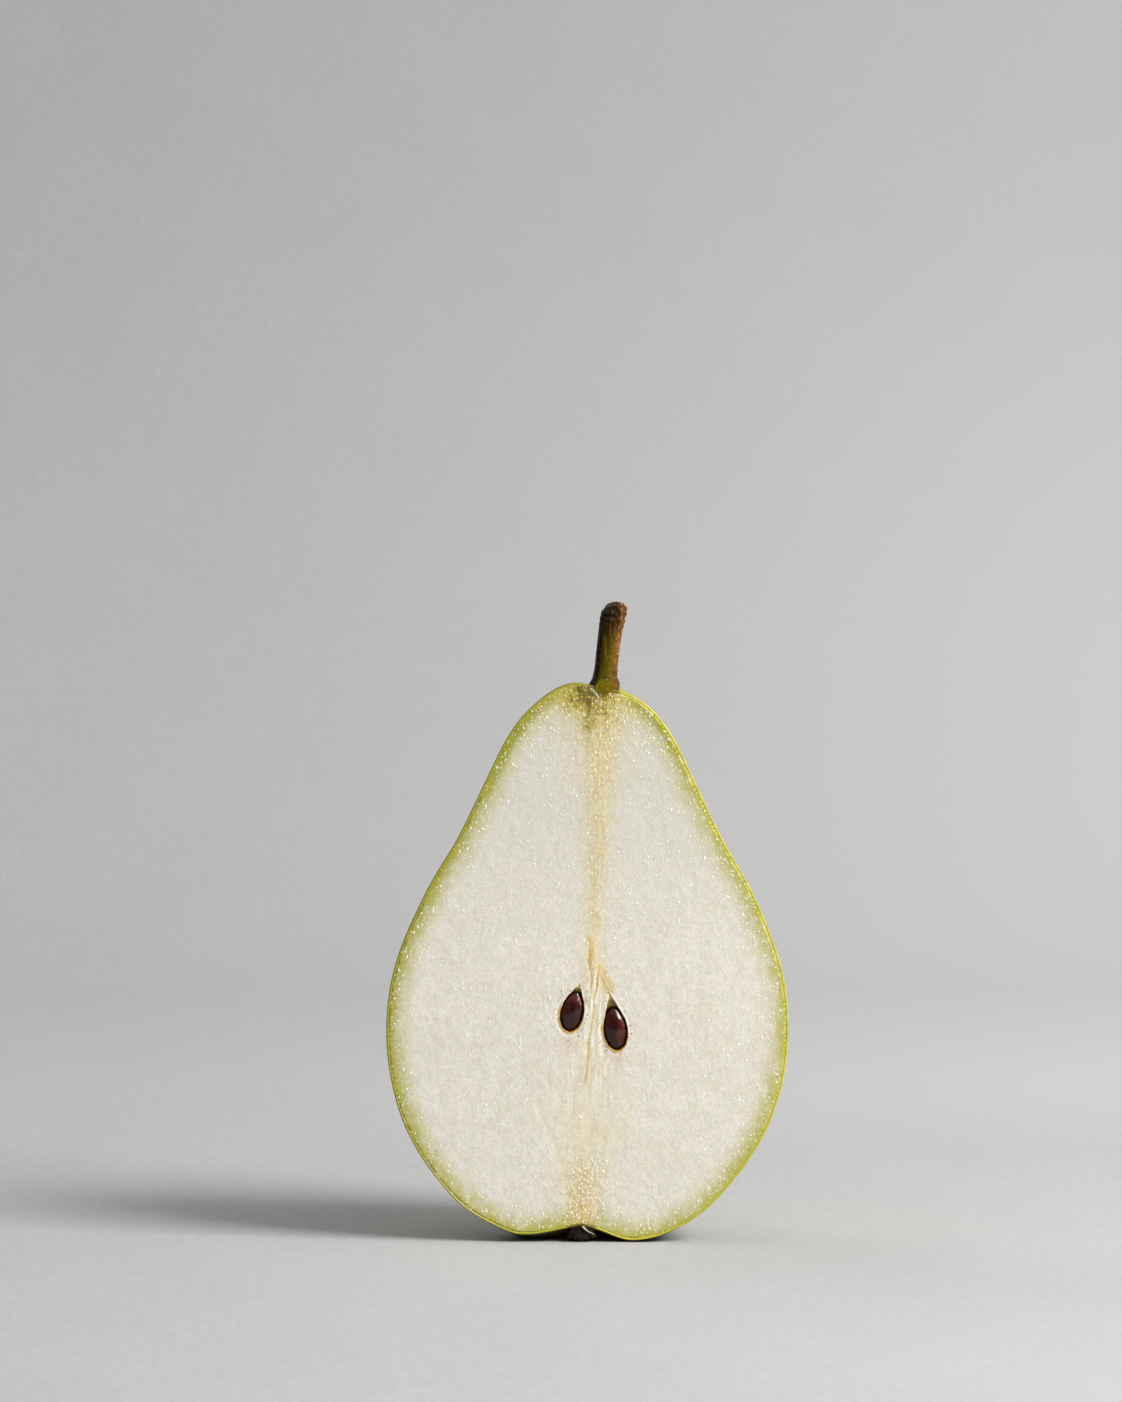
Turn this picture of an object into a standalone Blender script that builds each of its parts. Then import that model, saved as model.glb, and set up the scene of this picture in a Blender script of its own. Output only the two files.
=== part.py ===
"""A pear cut lengthwise: one half, standing on its base, with its stem, calyx and two seeds.

Metres, +Z up. The cut face looks towards -Y, and the origin is on the floor at the middle of the half.
"""

import math

import bmesh
import bpy
from mathutils import Matrix, Vector

MM = 0.001

# Driving dimensions of the fruit
HALF_DEPTH = 35.0 * MM  # from the cut face to the back of the skin
SEED_PROUD = 0.3 * MM  # how far the seeds stand out of the cut face
CUT_Y = (SEED_PROUD - HALF_DEPTH) / 2
CORE_FOOT_X = -1.0 * MM  # the core's line leans from the calyx to the stem
CORE_TOP_X = 3.0 * MM
CORE_TOP_Z = 97.0 * MM
GAP = 0.3 * MM  # between neighbouring pieces

# How finely each shape is divided
SPAN_STEPS = 3
ANGLE_STEPS = 34
RING_STEPS = 24
SEED_RINGS = 14

# The outline at the same features on three sides, from the calyx basin up to the stem, in millimetres:
# right edge (x, z), left edge (x, z), back (distance behind the cut, z)
OUTLINE_MM = (
    ((-1.0, 3.0), (-1.0, 3.0), (0.0, 3.0)),  # roof of the calyx basin
    ((1.9, 2.2), (-4.0, 2.4), (2.7, 2.2)),  # basin wall
    ((7.8, 0.35), (-9.9, 1.4), (9.2, -1.3)),  # lowest part of the lobes
    ((15.0, 2.1), (-14.6, 2.2), (17.2, -1.0)),
    ((22.3, 7.2), (-22.8, 7.2), (24.0, 6.2)),
    ((29.8, 17.0), (-30.2, 17.0), (30.5, 16.6)),
    ((33.8, 26.8), (-33.9, 26.8), (34.0, 26.8)),
    ((35.1, 37.8), (-35.1, 37.8), (35.0, 37.8)),  # widest
    ((33.7, 48.9), (-33.5, 48.9), (33.5, 48.9)),
    ((29.0, 61.1), (-28.4, 61.1), (28.6, 61.1)),
    ((23.5, 70.9), (-22.7, 70.9), (23.0, 70.9)),
    ((18.8, 80.7), (-17.9, 80.7), (18.3, 80.7)),  # neck
    ((15.3, 88.0), (-14.3, 88.0), (14.6, 88.0)),
    ((12.0, 92.7), (-10.9, 92.8), (11.2, 92.8)),
    ((8.9, 95.3), (-6.0, 96.9), (7.6, 95.9)),
    ((6.1, 96.5), (-1.7, 98.2), (4.0, 97.4)),  # shoulder around the stem
    ((3.0, 97.0), (3.0, 97.0), (0.0, 97.0)),  # dip under the stem
)

# Seeds: middle on the cut face (x, z), lean towards +X in degrees, width, thickness, length
SEEDS = {
    "seed_left": {"at": (-2.9, 40.5), "lean": 12.0, "size": (4.0, 2.8, 7.0)},
    "seed_right": {"at": (4.95, 37.3), "lean": -5.5, "size": (4.1, 2.8, 7.4)},
}
SEED_POINT = 0.35
# Pockets: foot and tip on the cut face (x, z), width and depth
POCKETS = {
    "pocket_left": {"foot": (-3.4, 36.3), "tip": (-1.8, 45.7), "size": (5.1, 3.9)},
    "pocket_right": {"foot": (5.3, 33.0), "tip": (3.9, 43.9), "size": (5.1, 3.9)},
}
POCKET_POINT = 0.6
POCKET_FORWARD = 0.15 * MM

# Stem: axis x, radius and height of each ring, from the foot in the flesh to the tip, in millimetres
STEM_BEHIND = 2.05 * MM
STEM_RINGS_MM = (
    (3.1, 1.2, 94.4),
    (3.0, 1.9, 94.9),
    (2.9, 2.3, 96.2),
    (2.9, 2.5, 97.4),
    (3.05, 2.2, 98.8),
    (3.2, 1.98, 100.2),
    (3.4, 1.95, 102.2),
    (3.65, 2.0, 104.6),
    (4.0, 2.08, 106.8),
    (4.4, 2.22, 109.2),
    (4.7, 2.05, 110.7),
    (4.95, 1.45, 111.7),
    (5.05, 0.7, 112.1),
)
SOCKET_TOP_MM = 99.0

# Calyx: the dried flower remnant, five lobes; radius, share of lobe and height of each ring, in millimetres
CALYX_X = -1.05 * MM
CALYX_LOBES = 5
CALYX_RINGS_MM = (
    (1.3, 0.00, 2.55),
    (1.9, 0.05, 2.2),
    (2.1, 0.12, 1.6),
    (1.8, 0.25, 0.9),
    (1.6, 0.35, 0.4),
)

# Linear colours, roughness
LOOKS = {
    "flesh": ((0.70, 0.66, 0.54, 1.0), 0.45),
    "skin": ((0.50, 0.52, 0.10, 1.0), 0.40),
    "stem_wood": ((0.11, 0.06, 0.02, 1.0), 0.60),
    "dry_calyx": ((0.03, 0.018, 0.014, 1.0), 0.80),
    "seed_coat": ((0.035, 0.008, 0.005, 1.0), 0.25),
}
SMOOTH_ANGLE = math.radians(40)


def clear_scene():
    for item in list(bpy.data.objects):
        bpy.data.objects.remove(item, do_unlink=True)


def material(name):
    colour, roughness = LOOKS[name]
    made = bpy.data.materials.new(name)
    made.use_nodes = True
    shader = made.node_tree.nodes["Principled BSDF"]
    shader.inputs["Base Color"].default_value = colour
    shader.inputs["Roughness"].default_value = roughness
    shader.inputs["Metallic"].default_value = 0.0
    made.diffuse_color = colour
    return made


def add_object(name, shape, looks, smooth=True):
    """Turn a bmesh into an object of that name with the given materials."""
    bmesh.ops.recalc_face_normals(shape, faces=shape.faces)
    mesh = bpy.data.meshes.new(name)
    shape.to_mesh(mesh)
    shape.free()
    for look in looks:
        mesh.materials.append(look)
    if smooth:
        mesh.shade_smooth()
        mesh.set_sharp_from_angle(angle=SMOOTH_ANGLE)
    made = bpy.data.objects.new(name, mesh)
    bpy.context.collection.objects.link(made)
    return made


def cut_away(target, cutter):
    """Take the cutter out of the target, and leave the cutter out of the model."""
    cutter.hide_render = True
    cutter.display_type = "WIRE"
    cut = target.modifiers.new(cutter.name, "BOOLEAN")
    cut.operation = "DIFFERENCE"
    cut.solver = "EXACT"
    cut.object = cutter


def smooth_path(points, steps):
    """Points along a smooth curve through the given ones, with that many steps in each span."""
    ends = [2 * points[0] - points[1], *points, 2 * points[-1] - points[-2]]
    path = []
    for before, start, end, after in zip(ends, ends[1:], ends[2:], ends[3:]):
        for step in range(steps):
            t = step / steps
            bend = (2 * before - 5 * start + 4 * end - after) * t * t
            twist = (3 * start - before - 3 * end + after) * t * t * t
            path.append((2 * start + (end - before) * t + bend + twist) / 2)
    path.append(points[-1])
    return path


def ring(centre, radius_x, radius_y, lobe=0.0, lobes=0):
    """A level ring of points, with optional lobes."""
    points = []
    for step in range(RING_STEPS):
        angle = 2 * math.pi * step / RING_STEPS
        swell = 1 + lobe * math.cos(lobes * angle)
        offset = Vector((radius_x * math.cos(angle), radius_y * math.sin(angle), 0.0))
        points.append(centre + offset * swell)
    return points


def body_over(rings, foot, tip):
    """A closed body over a row of rings, drawn to a point at each end."""
    shape = bmesh.new()
    loops = []
    for points in rings:
        corners = [shape.verts.new(point) for point in points]
        loops.append([shape.edges.new((a, b)) for a, b in zip(corners, corners[1:] + corners[:1])])
    for lower, upper in zip(loops, loops[1:]):
        bmesh.ops.bridge_loops(shape, edges=lower + upper)
    for loop, point in ((loops[0], foot), (loops[-1], tip)):
        end = shape.verts.new(point)
        for edge in loop:
            shape.faces.new((edge.verts[0], edge.verts[1], end))
    return shape


def teardrop(width, thickness, length, point):
    """An egg-shaped body along Z, more pointed at its top as point grows."""
    widest = math.acos(-point / (point + 2))
    full = math.sin(widest) * math.sin(widest / 2) ** point
    rings = []
    for step in range(1, SEED_RINGS):
        turn = math.pi * (1 - step / SEED_RINGS)
        share = math.sin(turn) * math.sin(turn / 2) ** point / full
        centre = Vector((0.0, 0.0, math.cos(turn) * length / 2))
        rings.append(ring(centre, width / 2 * share, thickness / 2 * share))
    half = Vector((0.0, 0.0, length / 2))
    return body_over(rings, -half, half)


def skin_point(right, left, back, angle):
    """A point of the skin at one level: angle 0 is the right edge of the cut, pi the left edge."""
    core_x = CORE_FOOT_X + (CORE_TOP_X - CORE_FOOT_X) * back.y / CORE_TOP_Z
    side = right if angle < math.pi / 2 else left
    away = math.sin(angle)
    x = core_x + (side.x - core_x) * abs(math.cos(angle))
    return Vector((x, CUT_Y + back.x * away, side.y * (1 - away) + back.y * away))


def fruit_shape():
    """The half's outside: lofted from edge to edge round the back, with one flat cut face."""
    sides = [[Vector(feature[i]) * MM for feature in OUTLINE_MM] for i in range(3)]
    levels = list(zip(*(smooth_path(side, SPAN_STEPS) for side in sides)))
    shape = bmesh.new()
    foot = shape.verts.new(skin_point(*levels[0], 0.0))
    tip = shape.verts.new(skin_point(*levels[-1], 0.0))
    rows = []
    for right, left, back in levels[1:-1]:
        angles = [math.pi * step / ANGLE_STEPS for step in range(ANGLE_STEPS + 1)]
        rows.append([shape.verts.new(skin_point(right, left, back, angle)) for angle in angles])
    for lower, upper in zip(rows, rows[1:]):
        for i in range(ANGLE_STEPS):
            shape.faces.new((lower[i], lower[i + 1], upper[i + 1], upper[i]))
    for row, end in ((rows[0], foot), (rows[-1], tip)):
        for i in range(ANGLE_STEPS):
            shape.faces.new((row[i], row[i + 1], end))
    cut_edge = [foot, *(row[0] for row in rows), tip, *(row[-1] for row in reversed(rows))]
    shape.faces.new(cut_edge).material_index = 1
    return shape


def block(low, high):
    """A plain box between two corners."""
    shape = bmesh.new()
    bmesh.ops.create_cube(shape, size=1.0)
    size = high - low
    bmesh.ops.transform(shape, matrix=Matrix.Diagonal((*size, 1.0)), verts=shape.verts)
    bmesh.ops.translate(shape, vec=(low + high) / 2, verts=shape.verts)
    return shape


def flesh_faces(shape):
    """Give every face the second material, so that what it cuts shows as flesh."""
    for face in shape.faces:
        face.material_index = 1
    return shape


def pocket_cutter(name, facts, looks):
    """The hollow of one seed chamber, opened by the cut."""
    foot = Vector((facts["foot"][0], 0.0, facts["foot"][1])) * MM
    tip = Vector((facts["tip"][0], 0.0, facts["tip"][1])) * MM
    width, depth = (value * MM for value in facts["size"])
    drop = teardrop(width, 2 * depth, (tip - foot).length, POCKET_POINT)
    cutter = add_object(name, flesh_faces(drop), looks)
    cutter.location = (foot + tip) / 2 + Vector((0.0, CUT_Y - POCKET_FORWARD, 0.0))
    cutter.rotation_euler.y = math.atan2(tip.x - foot.x, tip.z - foot.z)
    return cutter


def seed(name, facts, look):
    """One seed, sitting in its pocket and just proud of the cut face."""
    width, thickness, length = (value * MM for value in facts["size"])
    made = add_object(name, teardrop(width, thickness, length, SEED_POINT), [look])
    x, z = (value * MM for value in facts["at"])
    made.location = (x, CUT_Y - SEED_PROUD + thickness / 2, z)
    made.rotation_euler.y = math.radians(facts["lean"])
    return made


def stem_shape(swell=0.0, top_mm=None):
    """The stem's round body, or its foot up to top_mm, grown by swell."""
    rows = [row for row in STEM_RINGS_MM if top_mm is None or row[2] <= top_mm]
    axis = [Vector((x * MM, CUT_Y + STEM_BEHIND, z * MM)) for x, _, z in rows]
    rings = [ring(at, radius * MM + swell, radius * MM + swell) for at, (_, radius, _) in zip(axis, rows)]
    end = Vector((0.0, 0.0, 0.1 * MM + swell))
    return body_over(rings, axis[0] - end, axis[-1] + end)


def calyx_shape():
    """The dried flower remnant: a button with five lobes that open downwards."""
    rings = []
    for radius, lobe, height in reversed(CALYX_RINGS_MM):
        centre = Vector((CALYX_X, CUT_Y, height * MM))
        rings.append(ring(centre, radius * MM, radius * MM, lobe, CALYX_LOBES))
    low = Vector((CALYX_X, CUT_Y, 1.3 * MM))
    high = Vector((CALYX_X, CUT_Y, 2.65 * MM))
    return body_over(rings, low, high)


def build():
    clear_scene()
    looks = {name: material(name) for name in LOOKS}
    fruit_looks = [looks["skin"], looks["flesh"]]

    pear_half = add_object("pear_half", fruit_shape(), fruit_looks)
    below = block(Vector((-0.04, -0.04, -0.01)), Vector((0.04, 0.04, 0.0)))
    cut_away(pear_half, add_object("rest_plane", below, fruit_looks, smooth=False))
    for name, facts in POCKETS.items():
        cut_away(pear_half, pocket_cutter(name, facts, fruit_looks))
    socket = flesh_faces(stem_shape(GAP, SOCKET_TOP_MM))
    cut_away(pear_half, add_object("stem_socket", socket, fruit_looks))

    stem = add_object("stem", stem_shape(), [looks["stem_wood"]])
    calyx = add_object("calyx", calyx_shape(), [looks["dry_calyx"]])
    front = block(Vector((-0.05, CUT_Y - 0.02, -0.01)), Vector((0.05, CUT_Y, 0.12)))
    knife = add_object("knife_plane", front, [looks["flesh"]], smooth=False)
    cut_away(stem, knife)
    cut_away(calyx, knife)
    for name, facts in SEEDS.items():
        seed(name, facts, looks["seed_coat"])


build()
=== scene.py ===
import math

import bmesh
import bpy
import numpy as np
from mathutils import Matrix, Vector, noise
from mathutils.geometry import convex_hull_2d, delaunay_2d_cdt


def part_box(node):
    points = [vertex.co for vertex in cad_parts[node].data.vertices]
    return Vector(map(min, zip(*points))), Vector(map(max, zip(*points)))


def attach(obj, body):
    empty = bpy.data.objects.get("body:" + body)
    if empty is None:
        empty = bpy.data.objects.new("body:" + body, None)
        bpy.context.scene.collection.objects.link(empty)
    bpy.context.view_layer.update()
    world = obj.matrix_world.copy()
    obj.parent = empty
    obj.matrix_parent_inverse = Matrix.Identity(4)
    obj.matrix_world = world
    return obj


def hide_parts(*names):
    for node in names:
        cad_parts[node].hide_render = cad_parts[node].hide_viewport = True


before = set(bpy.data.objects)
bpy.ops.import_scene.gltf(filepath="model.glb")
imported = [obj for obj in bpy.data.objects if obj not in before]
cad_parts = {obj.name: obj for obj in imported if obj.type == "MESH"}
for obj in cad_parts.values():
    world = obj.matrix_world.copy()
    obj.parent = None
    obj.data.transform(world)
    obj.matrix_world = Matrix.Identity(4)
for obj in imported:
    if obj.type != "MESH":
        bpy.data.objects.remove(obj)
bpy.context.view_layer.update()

# Shapes are worked out in millimetres in the CAD's frame, and become metres when a mesh is made.
MM = 0.001
CUT_Y = (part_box("pear_half")[0] / MM).y  # the plane of the cut face, which looks towards -Y

# The fruit's outline, as the CAD has it: right edge (x, z), left edge (x, z), back (behind the cut, z)
OUTLINE = (
    ((-1.0, 3.0), (-1.0, 3.0), (0.0, 3.0)),
    ((1.9, 2.2), (-4.0, 2.4), (2.7, 2.2)),
    ((7.8, 0.35), (-9.9, 1.4), (9.2, -1.3)),
    ((15.0, 2.1), (-14.6, 2.2), (17.2, -1.0)),
    ((22.3, 7.2), (-22.8, 7.2), (24.0, 6.2)),
    ((29.8, 17.0), (-30.2, 17.0), (30.5, 16.6)),
    ((33.8, 26.8), (-33.9, 26.8), (34.0, 26.8)),
    ((35.1, 37.8), (-35.1, 37.8), (35.0, 37.8)),
    ((33.7, 48.9), (-33.5, 48.9), (33.5, 48.9)),
    ((29.0, 61.1), (-28.4, 61.1), (28.6, 61.1)),
    ((23.5, 70.9), (-22.7, 70.9), (23.0, 70.9)),
    ((18.8, 80.7), (-17.9, 80.7), (18.3, 80.7)),
    ((15.3, 88.0), (-14.3, 88.0), (14.6, 88.0)),
    ((12.0, 92.7), (-10.9, 92.8), (11.2, 92.8)),
    ((8.9, 95.3), (-6.0, 96.9), (7.6, 95.9)),
    ((6.1, 96.5), (-1.7, 98.2), (4.0, 97.4)),
    ((3.0, 97.0), (3.0, 97.0), (0.0, 97.0)),
)
CORE_FOOT_X, CORE_TOP_X, CORE_TOP_Z = -1.0, 3.0, 97.0
PATH_STEPS = 40

# Skin
LEVELS = 330
SKIN_COLUMNS = 210
INNER_COLUMNS = 14
SKIN_EDGE = 0.38  # width of the skin's line round the cut face
EDGE_ROUND = 0.17
FLOOR_ROUND = 0.2  # how softly the underside meets the flat rest spot

# Flesh: spacing of the cut face's mesh, with finer patches (low x, low z, high x, high z, spacing)
FACE_SPACING = 0.4
FINE_PATCHES = (
    (-6.8, 28.0, 8.8, 49.5, 0.125),
    (-4.0, 88.0, 9.5, 99.0, 0.22),
    (-6.5, 1.0, 5.5, 15.0, 0.22),
)

# Core line: x at each height, half width of its strands, and how strong its tan colour is
CORE_Z = (3.0, 8.0, 14.0, 21.0, 28.0, 35.0, 40.0, 44.0, 47.0, 49.0, 54.0, 65.0, 77.0, 88.0, 94.0, 98.0)
CORE_X = (-1.0, -1.0, -0.6, 0.1, 0.2, 0.7, 1.0, 1.25, 1.3, 1.1, 1.1, 1.6, 1.9, 2.3, 2.7, 3.0)
CORE_HALF = (2.5, 3.0, 3.9, 5.2, 4.6, 2.6, 2.2, 2.3, 1.8, 1.5, 1.6, 2.0, 2.8, 3.7, 4.4, 4.8)
CORE_TAN = (0.95, 0.8, 0.5, 0.38, 0.22, 0.12, 0.15, 0.3, 0.6, 0.85, 0.7, 0.62, 0.66, 0.85, 1.0, 1.0)
CORE_STRANDS = (0.2, 0.25, 0.35, 0.6, 0.8, 0.9, 1.0, 1.0, 1.0, 0.8, 0.5, 0.35, 0.3, 0.3, 0.2, 0.2)

# Fibres of the core: points (x, z), half width, height
PALE_FIBRES = (
    (((1.4, 48.6), (1.25, 46.0), (0.85, 43.5), (0.6, 41.0)), 0.3, 0.05),
    (((2.2, 47.4), (2.0, 45.5), (1.7, 43.8), (1.4, 42.0)), 0.3, 0.05),
    (((2.2, 47.8), (3.0, 46.2), (3.7, 44.8), (4.3, 43.6), (5.2, 42.2), (5.9, 40.8)), 0.24, 0.04),
    (((3.55, 43.4), (3.2, 42.0), (3.0, 40.4)), 0.16, 0.06),
    (((0.4, 47.6), (-0.4, 46.8), (-1.2, 45.9)), 0.18, 0.05),
    (((2.0, 41.0), (2.1, 38.5), (2.0, 36.0), (2.2, 33.0)), 0.40, 0.05),
    (((-0.3, 41.0), (-0.4, 38.0), (-0.6, 34.5), (-0.9, 31.5)), 0.45, 0.05),
    (((3.4, 32.3), (2.9, 30.8), (2.9, 29.2)), 0.25, 0.06),
    (((1.6, 31.0), (1.4, 29.0), (1.5, 27.0)), 0.25, 0.05),
    (((-2.4, 33.0), (-2.8, 31.0), (-2.6, 29.5)), 0.2, 0.04),
)
GREEN_FIBRES = (
    (((1.2, 42.0), (0.8, 39.1), (0.5, 36.9), (0.3, 34.3), (0.05, 31.7), (-0.25, 28.6)), 0.2, -0.02),
    (((2.6, 47.2), (3.3, 45.6), (3.9, 44.4)), 0.42, 0.0),
    (((1.75, 47.6), (1.65, 45.6), (1.2, 43.4)), 0.16, -0.03),
    (((0.35, 48.2), (0.75, 46.4), (0.55, 44.8)), 0.14, -0.03),
)
AMBER_FIBRES = (
    (((1.9, 47.9), (2.8, 46.2), (3.7, 44.6)), 1.0, 0.0),
    (((0.4, 49.8), (0.7, 51.5), (0.3, 53.5)), 0.35, 0.0),
    (((1.7, 46.8), (1.6, 45.0), (1.0, 43.0)), 0.3, 0.0),
)
DARK_FIBRES = (
    (((1.75, 46.6), (1.6, 45.4), (1.5, 44.4)), 0.12, -0.03),
    (((0.1, 49.6), (0.5, 48.7), (0.9, 48.1)), 0.16, -0.04),
    (((0.35, 51.4), (0.5, 50.2), (0.55, 48.8)), 0.13, -0.05),
    (((-0.6, 43.0), (-0.35, 42.5), (-0.5, 42.0)), 0.16, -0.08),
)
FUNNEL_LINES = (
    (((-9.0, 24.5), (-6.0, 17.5), (-4.0, 11.0), (-3.4, 5.5)), 0.45, -0.03),
    (((7.5, 24.0), (4.6, 17.0), (2.4, 10.0), (1.8, 5.5)), 0.45, -0.03),
)
STEM_CUTS = (
    (((0.2, 97.5), (1.1, 96.7), (1.9, 95.7), (1.7, 94.9)), 0.11, 0.05),
    (((4.5, 97.3), (4.8, 96.5), (5.3, 95.9)), 0.12, 0.06),
)

# Seeds: middle on the cut face, lean in degrees, width, thickness, length
SEEDS = {
    "seed_left": {"at": (-2.6, 40.72), "lean": 12.0, "size": (3.85, 2.8, 7.15)},
    "seed_right": {"at": (4.87, 37.7), "lean": -6.5, "size": (3.98, 2.8, 7.6)},
}
SEED_PROUD = 0.6
SEED_POINT = 0.25
SEED_RINGS, SEED_STEPS = 110, 120
SEED_OUTLINE_STEPS = 240

# Each seed's pocket: its pointed tip on the cut face, its depth, and the depth just behind the tip
POCKETS = {
    "seed_left": {"tip": (-1.35, 45.6), "depth": 3.3, "shallow": 0.4},
    "seed_right": {"tip": (3.8, 44.1), "depth": 3.5, "shallow": 0.4},
}
POCKET_GAP = 0.14
POCKET_STEPS = 170
CUP_RINGS = 22

# Stem: axis x, radius, height
STEM_BEHIND = 2.05
STEM_SHAPE = (
    (3.1, 1.2, 94.4),
    (3.0, 1.9, 94.9),
    (2.9, 2.3, 96.2),
    (2.9, 2.5, 97.4),
    (3.05, 2.2, 98.8),
    (3.2, 1.98, 100.2),
    (3.4, 1.95, 102.2),
    (3.65, 2.0, 104.6),
    (4.0, 2.08, 106.8),
    (4.4, 2.22, 109.2),
    (4.7, 2.05, 110.7),
    (4.95, 1.45, 111.7),
    (5.05, 0.7, 112.1),
)
STEM_STEPS = 110

# Calyx: where it is, and each sepal's bearing in degrees, length and width
CALYX_AT = (-1.05, 2.6)
LUMP_SIZE = (2.35, 1.7, 1.25)
SEPALS = ((2, 2.3, 1.9), (38, 2.4, 2.0), (82, 2.5, 2.0), (128, 2.4, 2.0), (178, 2.4, 1.9))

# Studio: each light's name, azimuth, height in degrees, distance, size, power and tint
LIGHTS = (
    ("key", 33, 38, 1.15, (0.46, 0.46), 16.2, (1.0, 0.99, 0.97)),
    ("window", 16, 32, 0.8, (0.05, 0.8), 2.4, (1.0, 0.99, 0.98)),
    ("fill", 222, 35, 1.6, (0.9, 0.9), 4.9, (0.98, 0.99, 1.0)),
)
LIGHTS_AIM = Vector((0.0, 0.0, 0.045))
WORLD_TINT = (0.95, 0.96, 0.98, 1.0)
WORLD_STRENGTH = 0.485
SENSOR = 36.0
CAMERA_RISE = math.radians(4.5)
CAMERA_FAR = 1.45
FRAME_HEIGHT = 0.2440  # of the picture, at the fruit
FLOOR_FLAT = 1.75  # how far out the floor stays flat, in metres
FLOOR_CURVE = 0.5
PICTURE_MIDDLE = Vector((-0.0046, CUT_Y * MM, 0.0950))


# Shape helpers


def smooth_path(points, steps):
    """Points along a smooth curve through the given ones, with that many steps in each span."""
    points = np.asarray(points, float)
    ends = np.vstack([2 * points[0] - points[1], points, 2 * points[-1] - points[-2]])
    before, start, end, after = (ends[i : len(ends) - 3 + i, None] for i in range(4))
    t = np.linspace(0, 1, steps, endpoint=False)[None, :, None]
    bend = (2 * before - 5 * start + 4 * end - after) * t**2
    twist = (3 * start - before - 3 * end + after) * t**3
    path = (2 * start + (end - before) * t + bend + twist) / 2
    return np.vstack([path.reshape(-1, points.shape[1]), points[-1:]])


def even_path(points, count):
    """The smooth curve through the points, cut into count places at even distances."""
    path = smooth_path(points, PATH_STEPS)
    along = np.concatenate([[0], np.cumsum(np.linalg.norm(np.diff(path, axis=0), axis=1))])
    places = np.linspace(0, along[-1], count)
    return np.stack([np.interp(places, along, column) for column in path.T], axis=1)


def smoothstep(low, high, value):
    t = np.clip((value - low) / (high - low), 0, 1)
    return t * t * (3 - 2 * t)


def bell(value):
    return np.exp(-(value**2))


def noise_at(points, size, seed=0.0):
    """Smooth noise from -1 to 1 at each point, with features about size millimetres wide."""
    scale = 1 / np.asarray(size, float)
    return np.array([noise.noise(Vector(p) + Vector((seed, seed, seed))) for p in points * scale])


def line_distance(points, line):
    """Each flat point's distance to a line of points."""
    best = np.full(len(points), np.inf)
    for start, end in zip(line[:-1], line[1:]):
        span = end - start
        t = np.clip(((points - start) @ span) / (span @ span), 0, 1)
        best = np.minimum(best, np.linalg.norm(points - start - t[:, None] * span, axis=1))
    return best


def teardrop_shares(point, turns):
    """Half width of an egg shape, from 0 to 1, at each turn from its top (0) to its foot (pi)."""
    widest = math.acos(-point / (point + 2))
    full = math.sin(widest) * math.sin(widest / 2) ** point
    return np.sin(turns) * np.sin(turns / 2) ** point / full


def leaned(across, along, degrees):
    """Places across and along a seed, turned to where it leans on the cut face: x and z."""
    lean = math.radians(degrees)
    return across * math.cos(lean) + along * math.sin(lean), along * math.cos(lean) - across * math.sin(lean)


def seed_outline(facts, grow):
    """A seed's outline on the cut face, grown by a margin, anticlockwise from its tip."""
    width, _, length = facts["size"]
    turns = np.linspace(0, 2 * math.pi, SEED_OUTLINE_STEPS, endpoint=False)
    half = np.where(turns <= math.pi, turns, 2 * math.pi - turns)
    across = -np.sign(math.pi - turns) * teardrop_shares(SEED_POINT, half) * (width / 2 + grow)
    along = np.cos(turns) * (length / 2 + grow)
    return np.stack(leaned(across, along, facts["lean"]), axis=1) + np.array(facts["at"])


def make_object(name, points, faces, look, values=None, corners=None):
    """A smooth mesh object from points in millimetres, with values at its points and a map at its corners."""
    mesh = bpy.data.meshes.new(name)
    mesh.from_pydata((np.asarray(points) * MM).tolist(), [], faces)
    for label, numbers in (values or {}).items():
        layer = mesh.attributes.new(label, "FLOAT", "POINT")
        layer.data.foreach_set("value", np.asarray(numbers, np.float32))
    if corners is not None:
        layer = mesh.uv_layers.new(name="OFBake")
        layer.uv.foreach_set("vector", np.asarray(corners, np.float32).ravel())
    shape = bmesh.new()
    shape.from_mesh(mesh)
    bmesh.ops.remove_doubles(shape, verts=shape.verts, dist=0.0005 * MM)
    bmesh.ops.recalc_face_normals(shape, faces=shape.faces)
    shape.to_mesh(mesh)
    shape.free()
    mesh.materials.append(look)
    mesh.shade_smooth()
    made = bpy.data.objects.new(name, mesh)
    bpy.context.scene.collection.objects.link(made)
    return made


def ring_faces(rows, columns):
    """Faces between rows of closed rings, and each corner's row and column on the map."""
    faces, corners = [], []
    for i in range(rows - 1):
        for j in range(columns):
            k = (j + 1) % columns
            faces.append((i * columns + j, i * columns + k, (i + 1) * columns + k, (i + 1) * columns + j))
            corners += [(i, j), (i, j + 1), (i + 1, j + 1), (i + 1, j)]
    return faces, corners


def lofted(rings, foot, tip):
    """Points and faces of a closed body over rings, drawn to a point at each end."""
    rows, columns = rings.shape[:2]
    faces, _ = ring_faces(rows, columns)
    last = (rows - 1) * columns
    for j in range(columns):
        k = (j + 1) % columns
        faces.append((k, j, rows * columns))
        faces.append((last + j, last + k, rows * columns + 1))
    return np.vstack([rings.reshape(-1, 3), foot, tip]), faces


# Materials


def colour(red, green, blue):
    """A colour given in the 0 to 255 of a screen, as the shader's linear numbers."""
    linear = []
    for value in (red, green, blue):
        share = value / 255
        linear.append(share / 12.92 if share <= 0.04045 else ((share + 0.055) / 1.055) ** 2.4)
    return (*linear, 1.0)


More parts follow.
